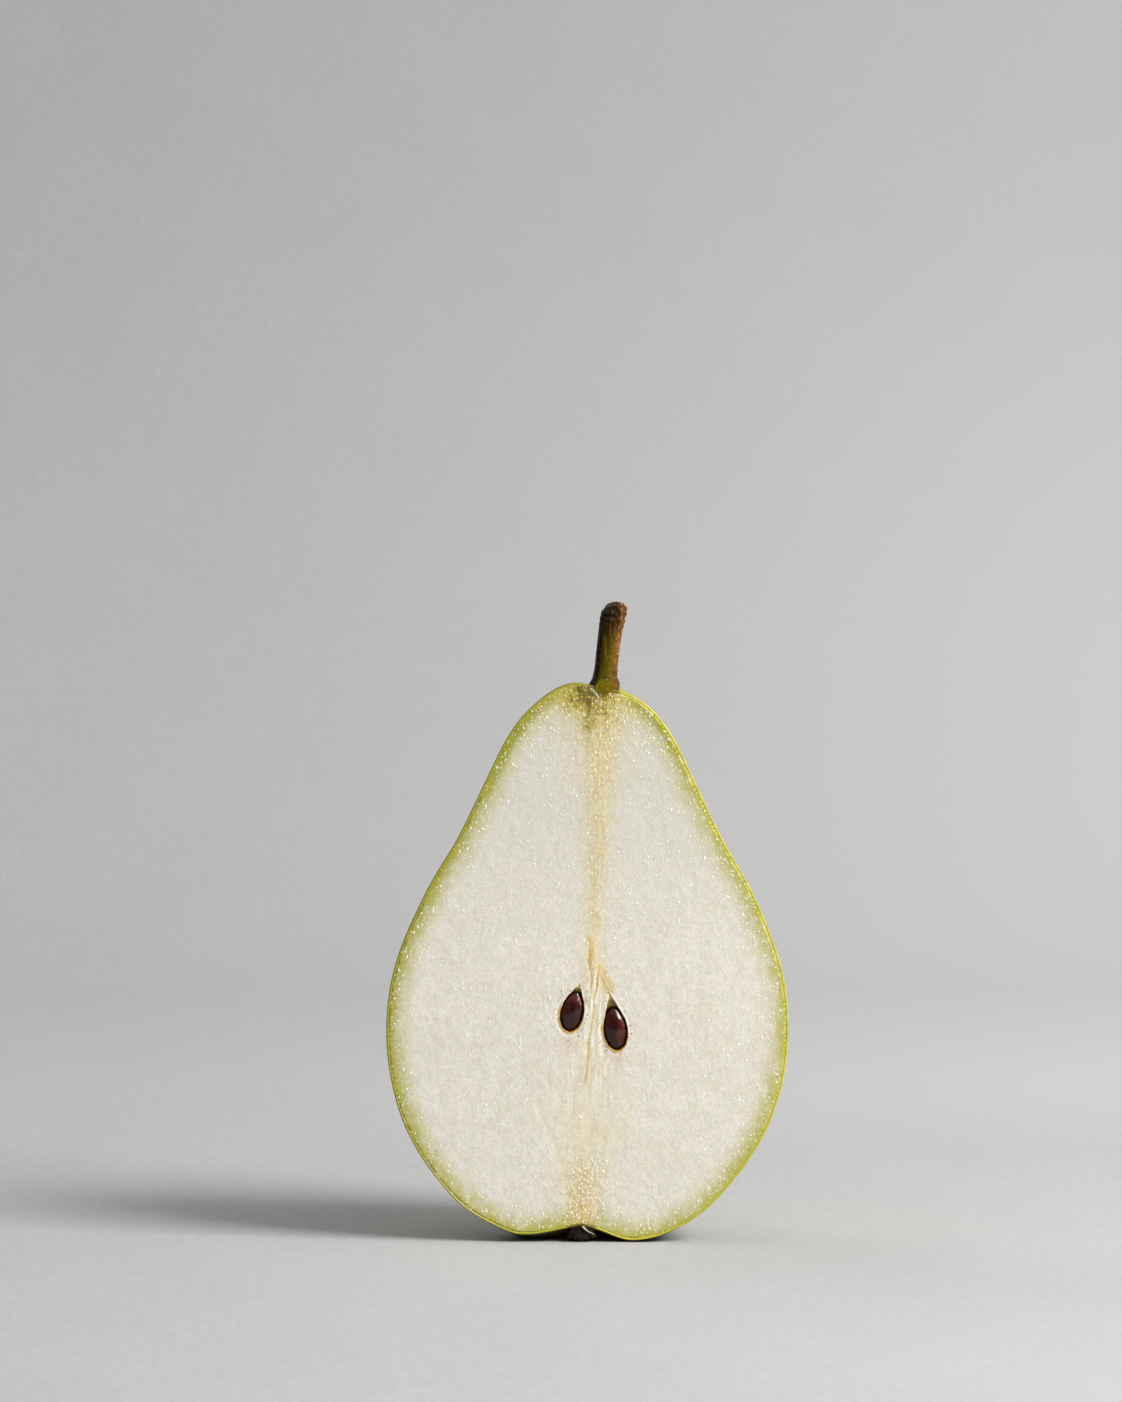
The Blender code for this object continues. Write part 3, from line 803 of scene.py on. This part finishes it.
def face_values(flat, rim, pockets):
    """Everything that varies over the cut face: masks for its colours, and its relief in millimetres."""
    x, z = flat.T
    solid = np.stack([x, np.zeros_like(x), z], axis=1)
    flow = (x - np.interp(z, CORE_Z, CORE_X)) / np.interp(z, CORE_Z, CORE_HALF)
    near_core = np.exp(-(flow**2) * 1.3)
    streak = 0.75 + 0.3 * noise_at(solid, (0.55, 1.0, 5.0), 3.0)
    streak = streak + 0.25 * noise_at(solid, (1.6, 1.0, 2.6), 17.0)
    core = near_core * np.interp(z, CORE_Z, CORE_TAN) * streak
    strands = np.exp(-(flow**2) * 0.9) * np.interp(z, CORE_Z, CORE_STRANDS)

    drift = np.stack([noise_at(solid, (1.3, 1.0, 1.9), 31.0), noise_at(solid, 2.0, 37.0)], axis=1) * 0.24
    pale, pale_rise = line_strength(flat + drift, PALE_FIBRES)
    green, green_rise = line_strength(flat + drift * 0.6, GREEN_FIBRES)
    warm = line_strength(flat + drift * 0.6, AMBER_FIBRES)[0]
    dark, dark_rise = line_strength(flat + drift * 0.6, DARK_FIBRES)
    funnel, funnel_rise = line_strength(flat, FUNNEL_LINES)
    cuts, cut_rise = line_strength(flat, STEM_CUTS)

    beyond = np.full(len(flat), 50.0)
    amber, membrane, halo = np.zeros(len(flat)), np.zeros(len(flat)), np.zeros(len(flat))
    for pocket in pockets:
        away = pocket.beyond(flat)
        low = pocket.low_side(flat)
        ragged = 0.14 + 0.12 * low + 0.10 * noise_at(solid, 0.9, 23.0)
        amber = np.maximum(amber, smoothstep(ragged + 0.16, ragged - 0.06, away) * (0.12 + 0.88 * low))
        membrane = np.maximum(membrane, bell((away - 0.12) / 0.13) * (1 - low))
        halo = np.maximum(halo, bell((away - 0.65) / 0.7) * (0.4 + 0.6 * low) * (away > 0.25))
        beyond = np.minimum(beyond, away)

    below_seeds = smoothstep(25.0, 33.0, z) * smoothstep(37.5, 34.5, z)
    below_seeds = below_seeds * smoothstep(6.5, 3.5, np.abs(x - 0.6))
    cream = blob(flat, (1.5, 46.2), (1.2, 2.2))
    cloudy = noise_at(solid, (1.3, 1.0, 2.6), 11.0)
    pink = 0.5 * below_seeds * smoothstep(-0.15, 0.4, cloudy)
    for at in ((-3.3, 34.2), (5.0, 32.6)):
        pink = np.maximum(pink, 0.75 * blob(flat, at, (1.5, 1.7)) * (0.8 + 0.5 * cloudy))
    pink = np.maximum(pink, 0.7 * blob(flat, (-0.15, 46.2), (0.75, 1.1)))
    olive_noise = 0.8 + 0.4 * noise_at(solid, (1.5, 1.0, 2.0), 5.0) + 0.25 * noise_at(solid, 0.6, 15.0)
    off_stem = np.hypot((x - 0.8) / 4.9, (z - 98.9) / 5.8)
    at_foot = blob(flat, (3.0, 96.4), (2.0, 1.7))
    beside = blob(flat, (-0.9, 95.6), (2.0, 2.4))
    trail = bell((x - 0.3) / 0.9) * smoothstep(83.0, 94.0, z) * (0.8 + 0.5 * noise_at(solid, 0.9, 27.0))
    olive = (1.62 * np.exp(-off_stem * 1.15) + 0.2 * at_foot + 0.28 * beside + 0.3 * trail) * olive_noise
    bottom = bell((x + 0.8) / 3.3) * smoothstep(20.0, 9.0, z)
    top = smoothstep(78.0, 95.0, z)
    grit = 0.06 + 0.32 * bell((rim - 1.6) / 1.8) + 0.8 * bottom + 0.42 * top + 0.25 * core
    amber = np.maximum(amber, 0.26 * bell((x + 0.7) / 1.7) * smoothstep(18.0, 5.0, z) * streak)
    # Painted shade: a faint darkening just left of the core line in the upper flesh.
    shade = np.clip(near_core * smoothstep(88, 76, z) * smoothstep(50, 62, z) * (flow < 0) * 0.35, 0, 1)

    grains = np.array([noise.voronoi(Vector(p))[0][0] for p in solid / 0.95])
    relief = 0.05 * noise_at(solid, 11.0, 1.0) + 0.03 * noise_at(solid, (1.1, 1.0, 1.5), 2.0)
    relief += 0.06 * smoothstep(0.42, 0.1, grains) * np.clip(grit * 1.4, 0.2, 1)
    relief += 0.07 * strands * noise_at(np.stack([flow * 2.6, z * 0, z * 0.16], axis=1), 1.0, 4.0)
    relief = relief * smoothstep(0.0, 1.2, rim) * smoothstep(0.0, 1.2, beyond)
    relief += pale_rise + green_rise + dark_rise + funnel_rise + cut_rise
    relief += 0.05 * bell((beyond - 0.12) / 0.14) - 0.04 * bell((beyond - 0.5) / 0.25)
    upper = smoothstep(72.0, 93.0, z)
    rough = 0.5 * bottom + 0.8 * smoothstep(0.15, 0.7, olive) + 0.5 * core * smoothstep(52.0, 60.0, z)
    masks = {
        "rim": rim,
        "neck": 0.12 + 0.8 * upper + 0.42 * smoothstep(0.0, -20.0, x) * smoothstep(8.0, 28.0, z),
        "flow": flow,
        "dirt_and_shade": np.clip(dark * 0.4 + shade * 0.3 + trail * 0.32, 0, 0.75),
        "halo": halo,
    }
    shares = {
        "core": core + 0.2 * funnel + 0.75 * warm,
        "strands": strands,
        "olive": olive,
        "grit": grit,
        "pale": pale * 0.68 + cuts * 0.8 + membrane * 0.85 + cream * 0.35,
        "green": green * 0.85,
        "amber": amber + dark * 0.8 + warm * 0.38,
        "rough": rough,
        "pink": pink,
    }
    return masks | {name: np.clip(share, 0, 1) for name, share in shares.items()}, relief


def spread_points(fruit, boundary, pockets):
    """Points inside the cut face: an even spread, with finer patches."""
    patches = [(-40.0, -2.0, 40.0, 100.0, FACE_SPACING), *FINE_PATCHES]
    outline = Ring(np.array([0.5, 42.0]), boundary)
    chosen = []
    for i, (low_x, low_z, high_x, high_z, gap) in enumerate(patches):
        columns = np.arange(low_x, high_x, gap)
        lines = np.arange(low_z, high_z, gap * math.sqrt(0.75))
        x, z = np.meshgrid(columns, lines)
        x = x + (np.arange(len(lines)) % 2)[:, None] * gap / 2
        points = np.stack([x.ravel(), z.ravel()], axis=1)
        jitter = np.stack([noise_at(np.c_[points, points[:, :1] * 0], 0.37, s) for s in (21.0, 43.0)], axis=1)
        points = points + jitter * gap * 0.2
        keep = outline.beyond(points) < -gap * 0.6
        for pocket in pockets:
            keep &= pocket.beyond(points) > 0.1
        for other_low_x, other_low_z, other_high_x, other_high_z, _ in patches[i + 1 :] if i == 0 else ():
            within = (points[:, 0] > other_low_x) & (points[:, 0] < other_high_x)
            within &= (points[:, 1] > other_low_z) & (points[:, 1] < other_high_z)
            keep &= ~within
        chosen.append(points[keep])
    return np.vstack(chosen)


def rim_distance(fruit, flat):
    """Each point's distance to the fruit's outline."""
    distances = np.empty(len(flat))
    for start in range(0, len(flat), 4000):
        part = flat[start : start + 4000]
        gaps = part[:, None, :] - fruit.loop[None, ::2, :]
        distances[start : start + 4000] = np.sqrt((gaps**2).sum(axis=2).min(axis=1))
    return np.maximum(distances - SKIN_EDGE, 0.0)


def flesh_piece(fruit, look):
    """The flesh: a finely relieved cut face with its two seed pockets, closed behind the skin."""
    pockets = [Pocket(SEEDS[seed], facts) for seed, facts in POCKETS.items()]
    right, left, foot, tip = fruit.inset(SKIN_EDGE)
    rim_loop = np.vstack([foot[None], right, tip[None], left[::-1]])
    boundary = rim_loop[:, [0, 2]]
    loops = [boundary] + [pocket.mouth for pocket in pockets]
    edges, start = [], 0
    for loop in loops:
        edges += [(start + i, start + (i + 1) % len(loop)) for i in range(len(loop))]
        start += len(loop)
    flat = np.vstack([*loops, spread_points(fruit, boundary, pockets)])
    found = delaunay_2d_cdt([Vector(p) for p in flat], edges, [], 1, 1e-7)
    flat = np.array([tuple(p) for p in found[0]])
    triangles = np.array([face for face in found[2] if len(face) == 3])
    centres = flat[triangles].mean(axis=1)
    keep = np.ones(len(triangles), bool)
    for pocket in pockets:
        keep &= pocket.beyond(centres) > 0
    triangles = triangles[keep]

    masks, relief = face_values(flat, rim_distance(fruit, flat), pockets)
    points = [np.stack([flat[:, 0], CUT_Y - relief, flat[:, 1]], axis=1)]
    values = {name: [mask] for name, mask in masks.items()}
    values["hollow"] = [np.zeros(len(flat))]
    values["wedge"] = [np.zeros(len(flat))]
    faces = [tuple(face) for face in triangles.tolist()]
    map_size = 100.0
    spot = lambda place: ((place[0] + 36.0) / map_size, (place[1] + 0.5) / map_size)
    corners = [spot(flat[i]) for face in faces for i in face]
    total = len(flat)

    for pocket in pockets:
        mouth_masks, mouth_relief = face_values(pocket.mouth, rim_distance(fruit, pocket.mouth), pockets)
        turns = np.linspace(0, math.pi / 2, CUP_RINGS)
        rings = []
        for turn in turns:
            ring = pocket.middle + (pocket.mouth - pocket.middle) * math.cos(turn)
            depth = pocket.depth + (pocket.shallow - pocket.depth) * pocket.toward_tip(ring)[1]
            level = CUT_Y - mouth_relief * math.cos(turn) + depth * math.sin(turn)
            rings.append(np.stack([ring[:, 0], level, ring[:, 1]], axis=1))
        rings = np.array(rings[:-1])
        cup = rings.reshape(-1, 3)
        ripple = noise_at(cup, (0.8, 0.8, 1.8), 13.0) * 0.06
        ripple[: len(pocket.mouth)] = 0
        cup[:, 1] += ripple
        bottom = np.array([[pocket.middle[0], CUT_Y + pocket.depth, pocket.middle[1]]])
        cup_faces, _ = ring_faces(len(rings), len(pocket.mouth))
        last = (len(rings) - 1) * len(pocket.mouth)
        for j in range(len(pocket.mouth)):
            cup_faces.append((last + j, last + (j + 1) % len(pocket.mouth), len(cup)))
        cup = np.vstack([cup, bottom])
        points.append(cup)
        for face in cup_faces:
            faces.append(tuple(total + i for i in face))
            corners += [spot((cup[i][0], cup[i][2])) for i in face]
        for name, mask in mouth_masks.items():
            values[name].append(np.concatenate([np.tile(mask, len(rings)), [0.0]]))
        values["hollow"].append(np.clip((cup[:, 1] - CUT_Y) / pocket.depth, 0, 1))
        values["wedge"].append(pocket.toward_tip(cup[:, [0, 2]])[0])
        total += len(cup)

    inner = fruit.inner + np.array([0.0, -0.05, 0.0])
    rows = np.concatenate([right[:, None], inner, left[:, None]], axis=1)
    count, width = rows.shape[:2]
    back = np.vstack([rows.reshape(-1, 3), foot, tip])
    points.append(back)
    across = lambda j: 0.74 + 0.25 * j / (width - 1)
    along = lambda i: (i + 2) / (count + 4)
    for i in range(count - 1):
        for j in range(width - 1):
            square = ((i, j), (i + 1, j), (i + 1, j + 1), (i, j + 1))
            faces.append(tuple(total + a * width + b for a, b in square))
            corners += [(across(b), along(a)) for a, b in square]
    for row, pole, end in ((0, count * width, -1), (count - 1, count * width + 1, count)):
        for j in range(width - 1):
            faces.append((total + row * width + j, total + row * width + j + 1, total + pole))
            corners += [(across(j), along(row)), (across(j + 1), along(row)), (across(j + 0.5), along(end))]
    for name in values:
        values[name].append(np.zeros(len(back)))
    return make_object("flesh", np.vstack(points), faces, look,
                       {name: np.concatenate(parts) for name, parts in values.items()}, corners)


# Seeds, stem, calyx


def seed_piece(name, facts, look):
    """A plump seed with a fine lengthwise grain and a blunt dark tip."""
    width, thickness, length = facts["size"]
    turns = np.linspace(math.pi, 0, SEED_RINGS + 2)[1:-1]
    shares = teardrop_shares(SEED_POINT, turns)
    bearings = np.linspace(0, 2 * math.pi, SEED_STEPS, endpoint=False)
    keel = 1 + 0.035 * np.cos(2 * bearings) ** 8
    x = shares[:, None] * np.cos(bearings) * width / 2 * keel
    y = shares[:, None] * np.sin(bearings) * thickness / 2
    z = np.repeat(np.cos(turns)[:, None] * length / 2, SEED_STEPS, axis=1)
    rings = np.stack([x, y, z], axis=2)
    flat = rings.reshape(-1, 3)
    grain = noise_at(flat, (0.3, 0.3, 4.0), facts["at"][0]) * 0.018 + noise_at(flat, 1.4, 3.0) * 0.04
    radial = flat * np.array([1.0, 1.0, 0.0])
    radial /= np.maximum(np.linalg.norm(radial, axis=1, keepdims=True), 1e-6)
    fade = np.repeat(smoothstep(0.0, 0.35, shares), SEED_STEPS)
    flat = flat + radial * (grain * fade)[:, None]
    ends = np.array([[0, 0, -length / 2], [0, 0, length / 2]])
    points, faces = lofted(flat.reshape(rings.shape), ends[0], ends[1])
    turned = points.copy()
    turned[:, 0], turned[:, 2] = leaned(points[:, 0], points[:, 2], facts["lean"])
    middle = np.array([facts["at"][0], CUT_Y - SEED_PROUD + thickness / 2, facts["at"][1]])
    tip = smoothstep(0.72, 1.0, np.abs(points[:, 2]) / (length / 2)) * 0.8
    return make_object(name + "_coat", turned + middle, faces, look, {"tip": tip})


def stem_piece(look):
    """The woody stem: ridged lengthwise, knobby at its tip, and sliced flat at its foot by the cut."""
    path = smooth_path(STEM_SHAPE, 10)
    bearings = np.linspace(0, 2 * math.pi, STEM_STEPS, endpoint=False)
    axis = np.stack([path[:, 0], np.full(len(path), CUT_Y + STEM_BEHIND), path[:, 2]], axis=1)
    around = np.stack([np.cos(bearings), np.sin(bearings), np.zeros(STEM_STEPS)], axis=1)
    radii = path[:, 1][:, None]
    height = path[:, 2][:, None]
    places = (axis[:, None] + around[None] * radii[..., None]).reshape(-1, 3)
    shape = (len(path), STEM_STEPS)
    ridges = noise_at(places, (0.7, 0.7, 6.0), 2.0).reshape(shape) * 0.15
    warts = noise_at(places, (0.7, 0.7, 0.8), 9.0).reshape(shape)
    knob = smoothstep(105.5, 110.0, height)
    right = smoothstep(0.0, 0.9, np.cos(bearings + 0.2))[None]
    bumps = warts * (0.05 + 0.16 * knob + 0.10 * right)
    folds = np.sin(height * 5.5 + bearings * 1.0) * 0.06 * knob * smoothstep(111.4, 110.4, height)
    flare = 0.28 * np.cos(bearings) ** 2 * smoothstep(99.3, 97.6, height)
    grown = radii * (1 + flare * 0.35) + (ridges + bumps + folds) * smoothstep(0.3, 1.2, radii)
    rings = axis[:, None] + around[None] * grown[..., None]
    dip = 0.9 * (1 - np.abs(np.cos(bearings)))[None]
    front = CUT_Y + 0.02 - 0.07 * smoothstep(98.6, 97.6, height) + 0.6 * smoothstep(97.1, 96.3, height + dip)
    cut_off = (rings[..., 1] < front) & (height < 99.2)
    rings[..., 1] = np.where(height < 99.2, np.maximum(rings[..., 1], front), rings[..., 1])
    offset = rings[..., 0] - axis[:, None, 0]
    foot = axis[0] - np.array([0, 0, 0.1])
    tip = axis[-1] + np.array([0, 0, 0.12])
    points, faces = lofted(rings, foot, tip)
    lit = smoothstep(0.25, 0.75, np.cos(bearings))[None]
    narrow = smoothstep(1.5, 0.9, offset) * smoothstep(-2.3, -1.7, offset)
    values = {
        "moss": smoothstep(-0.1, 0.9, np.cos(bearings + 1.9))[None] * smoothstep(108.0, 101.0, height) * 0.85,
        "sunny": lit * (0.35 + 0.65 * smoothstep(98.0, 104.0, height)),
        "shady": smoothstep(-0.35, -0.8, np.cos(bearings))[None] * 0.95 * np.ones(shape),
        "knob": knob * 0.9 * (1 - 0.6 * smoothstep(0.4, 0.8, np.cos(bearings))[None]) * np.ones(shape),
        "sliced": cut_off * smoothstep(99.4, 98.0, height) * narrow,
    }
    values = {name: np.concatenate([part.ravel(), [0.0, 0.0]]) for name, part in values.items()}
    return make_object("stem_bark", points, faces, look, values)


def sepal(base, direction, length, width, curl, thick):
    """One dried sepal: a tapering, cupped and curled leaf with a little thickness."""
    rows, steps = 18, 16
    side = np.array([-direction[1], direction[0], 0.0])
    rings, margin = [], []
    for i in range(rows):
        t = i / (rows - 1)
        half = width / 2 * (1 - t) ** 0.55 * (0.8 + 0.45 * math.sin(math.pi * min(1, t * 1.2)))
        out = length * (0.55 * t - curl * t * t)
        drop = -length * (0.85 * t)
        centre = base + direction * out + np.array([0.0, 0.0, drop])
        depth = thick * (1 - 0.7 * t)
        ring = []
        for k in range(steps):
            angle = 2 * math.pi * k / steps
            wave = 0.09 * math.sin(8 * t + 2 * math.cos(angle) + length * 9)
            across = math.cos(angle) * max(half, 0.03)
            cup = 0.22 * across**2 / max(width / 2, 0.1)
            ring.append(centre + side * across + direction * (math.sin(angle) * depth + wave * t - cup))
            margin.append(abs(math.cos(angle)) ** 8 * 0.45 * t + 0.15 * t)
        rings.append(ring)
    rings = np.array(rings)
    points, faces = lofted(rings, rings[0].mean(axis=0), rings[-1].mean(axis=0))
    return points, faces, margin + [0.0, 0.3]


def calyx_piece(look):
    """The dried flower remnant in the calyx hollow: sepals round a tuft of withered stamens."""
    middle = np.array([CALYX_AT[0], CUT_Y + 0.2, CALYX_AT[1]])
    rows, steps = 26, 40
    turns = np.linspace(0.25, math.pi - 0.25, rows)[:, None, None]
    bearings = np.linspace(0, 2 * math.pi, steps, endpoint=False)
    wide, deep, tall = LUMP_SIZE
    around = np.stack([np.cos(bearings) * wide, np.sin(bearings) * deep, np.zeros(steps)], axis=1)
    lump = (np.sin(turns) * around[None] - np.cos(turns) * np.array([0.0, 0.0, tall])).reshape(-1, 3)
    lump *= (1 + 0.5 * noise_at(lump, 0.6, 3.0) + 0.3 * noise_at(lump, 0.3, 8.0))[:, None]
    lump += np.array([CALYX_AT[0], CUT_Y + 1.3, 1.5])
    rings = lump.reshape(rows, steps, 3)
    lump_points, lump_faces = lofted(rings, rings[0].mean(axis=0), rings[-1].mean(axis=0))
    parts = [(lump_points, lump_faces, [0.1] * len(lump_points))]
    for bearing, length, width in SEPALS:
        angle = math.radians(bearing)
        direction = np.array([math.cos(angle), math.sin(angle), 0.0])
        parts.append(sepal(middle + direction * 1.15, direction, length, width, 0.1, 0.2))
    for i in range(13):
        angle = math.pi * (0.02 + 0.96 * i / 12)
        direction = np.array([math.cos(angle), 0.55 * math.sin(angle), 0.0])
        base = middle + direction * (0.3 + 0.4 * (i % 3)) + np.array([0.0, -0.1, 0.25])
        parts.append(sepal(base, direction, 2.0 + 0.22 * ((i * 7) % 3), 0.55, -0.05, 0.24))
    lip = np.array([1.0, -0.1, 0.0])
    parts.append(sepal(middle + np.array([0.3, -0.5, 0.25]), lip, 2.2, 0.8, -0.8, 0.22))
    points, faces, margins, cream, total = [], [], [], [], 0
    for i, (part_points, part_faces, margin) in enumerate(parts):
        is_lip = i == len(parts) - 1
        part_points[:, 1] = np.maximum(part_points[:, 1], CUT_Y + (-0.3 if is_lip else 0.02))
        part_points[:, 2] = np.maximum(part_points[:, 2], 0.12)
        points.append(part_points)
        faces += [tuple(total + i for i in face) for face in part_faces]
        margins += list(margin)
        cream += [float(is_lip)] * len(part_points)
        total += len(part_points)
    return make_object("calyx_sepals", np.vstack(points), faces, look, {"margin": margins, "cream": cream})


# Studio


def swept(name, line, look):
    """A sheet over rows of points in metres."""
    rows, columns = line.shape[:2]
    faces = [(i * columns + j, i * columns + j + 1, (i + 1) * columns + j + 1, (i + 1) * columns + j)
             for i in range(rows - 1) for j in range(columns - 1)]
    make_object(name, line.reshape(-1, 3) / MM, faces, look)


def studio_paper(look):
    """A round floor with a far raised rim, and a narrow sheet swept up behind the fruit."""
    turns = np.linspace(0, math.pi / 2, 41)
    bend = FLOOR_FLAT + FLOOR_CURVE * np.sin(turns[1:])
    out = np.concatenate([[0.001], np.linspace(0.05, FLOOR_FLAT, 24), bend, [FLOOR_FLAT + FLOOR_CURVE] * 3])
    rise = np.concatenate([np.zeros(25), FLOOR_CURVE * (1 - np.cos(turns[1:])), [0.7, 1.0, 1.3]])
    bearings = np.linspace(0, 2 * math.pi, 97)
    ring = np.stack([np.outer(out, np.cos(bearings)), np.outer(out, np.sin(bearings)),
                     np.repeat(rise[:, None], len(bearings), axis=1)], axis=2)
    swept("floor", ring, look)
    far, radius, half = 0.38, 0.3, 0.21
    back = np.concatenate([far + radius * np.sin(turns), [far + radius] * 3])
    height = np.concatenate([radius * (1 - np.cos(turns)), [0.32, 0.34, 0.36]]) - 0.0001
    across = np.linspace(-half, half, 3)
    sheet = np.stack(np.broadcast_arrays(across[None, :], back[:, None], height[:, None]), axis=2)
    swept("backdrop", sheet, look)


def add_light(name, azimuth, height, distance, size, power, tint):
    """A soft light: azimuth 0 is to the fruit's right, and it grows towards the viewer."""
    lamp = bpy.data.lights.new(name, "AREA")
    lamp.shape = "RECTANGLE"
    lamp.size, lamp.size_y = size
    lamp.energy = power
    lamp.color = tint
    turn, rise = math.radians(azimuth), math.radians(height)
    ray = Vector((math.cos(turn) * math.cos(rise), -math.sin(turn) * math.cos(rise), math.sin(rise)))
    made = bpy.data.objects.new(name, lamp)
    made.location = LIGHTS_AIM + ray * distance
    made.rotation_euler = ray.to_track_quat("Z", "Y").to_euler()
    bpy.context.scene.collection.objects.link(made)


def add_camera():
    lens = bpy.data.cameras.new("camera")
    lens.sensor_fit = "VERTICAL"
    lens.sensor_height = SENSOR
    lens.lens = SENSOR * CAMERA_FAR / FRAME_HEIGHT
    lens.clip_start = 0.05
    made = bpy.data.objects.new("camera", lens)
    away = Vector((0.0, -math.cos(CAMERA_RISE), math.sin(CAMERA_RISE)))
    made.location = PICTURE_MIDDLE + away * CAMERA_FAR
    made.rotation_euler = away.to_track_quat("Z", "Y").to_euler()
    bpy.context.scene.collection.objects.link(made)
    bpy.context.scene.camera = made


def light_studio():
    for facts in LIGHTS:
        add_light(*facts)
    world = bpy.data.worlds.new("studio")
    bpy.context.scene.world = world
    world.use_nodes = True
    sky = world.node_tree.nodes["Background"].inputs
    sky["Color"].default_value = WORLD_TINT
    sky["Strength"].default_value = WORLD_STRENGTH
    bpy.context.scene.view_settings.view_transform = "Standard"


# The model


def place(piece, node, slot):
    """Let a piece stand for a CAD node."""
    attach(piece, "root")
    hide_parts(node)


add_camera()
fruit = Fruit()
place(skin_piece(fruit, skin_look()), "pear_half", "fruit")
place(flesh_piece(fruit, flesh_look()), "pear_half", "fruit")
seed_coat = seed_look()
for seed_name, seed_facts in SEEDS.items():
    place(seed_piece(seed_name, seed_facts, seed_coat), seed_name, "seed_coat")
place(stem_piece(stem_look()), "stem", "stem_wood")
place(calyx_piece(calyx_look()), "calyx", "dry_calyx")
studio_paper(paper_look())
light_studio()
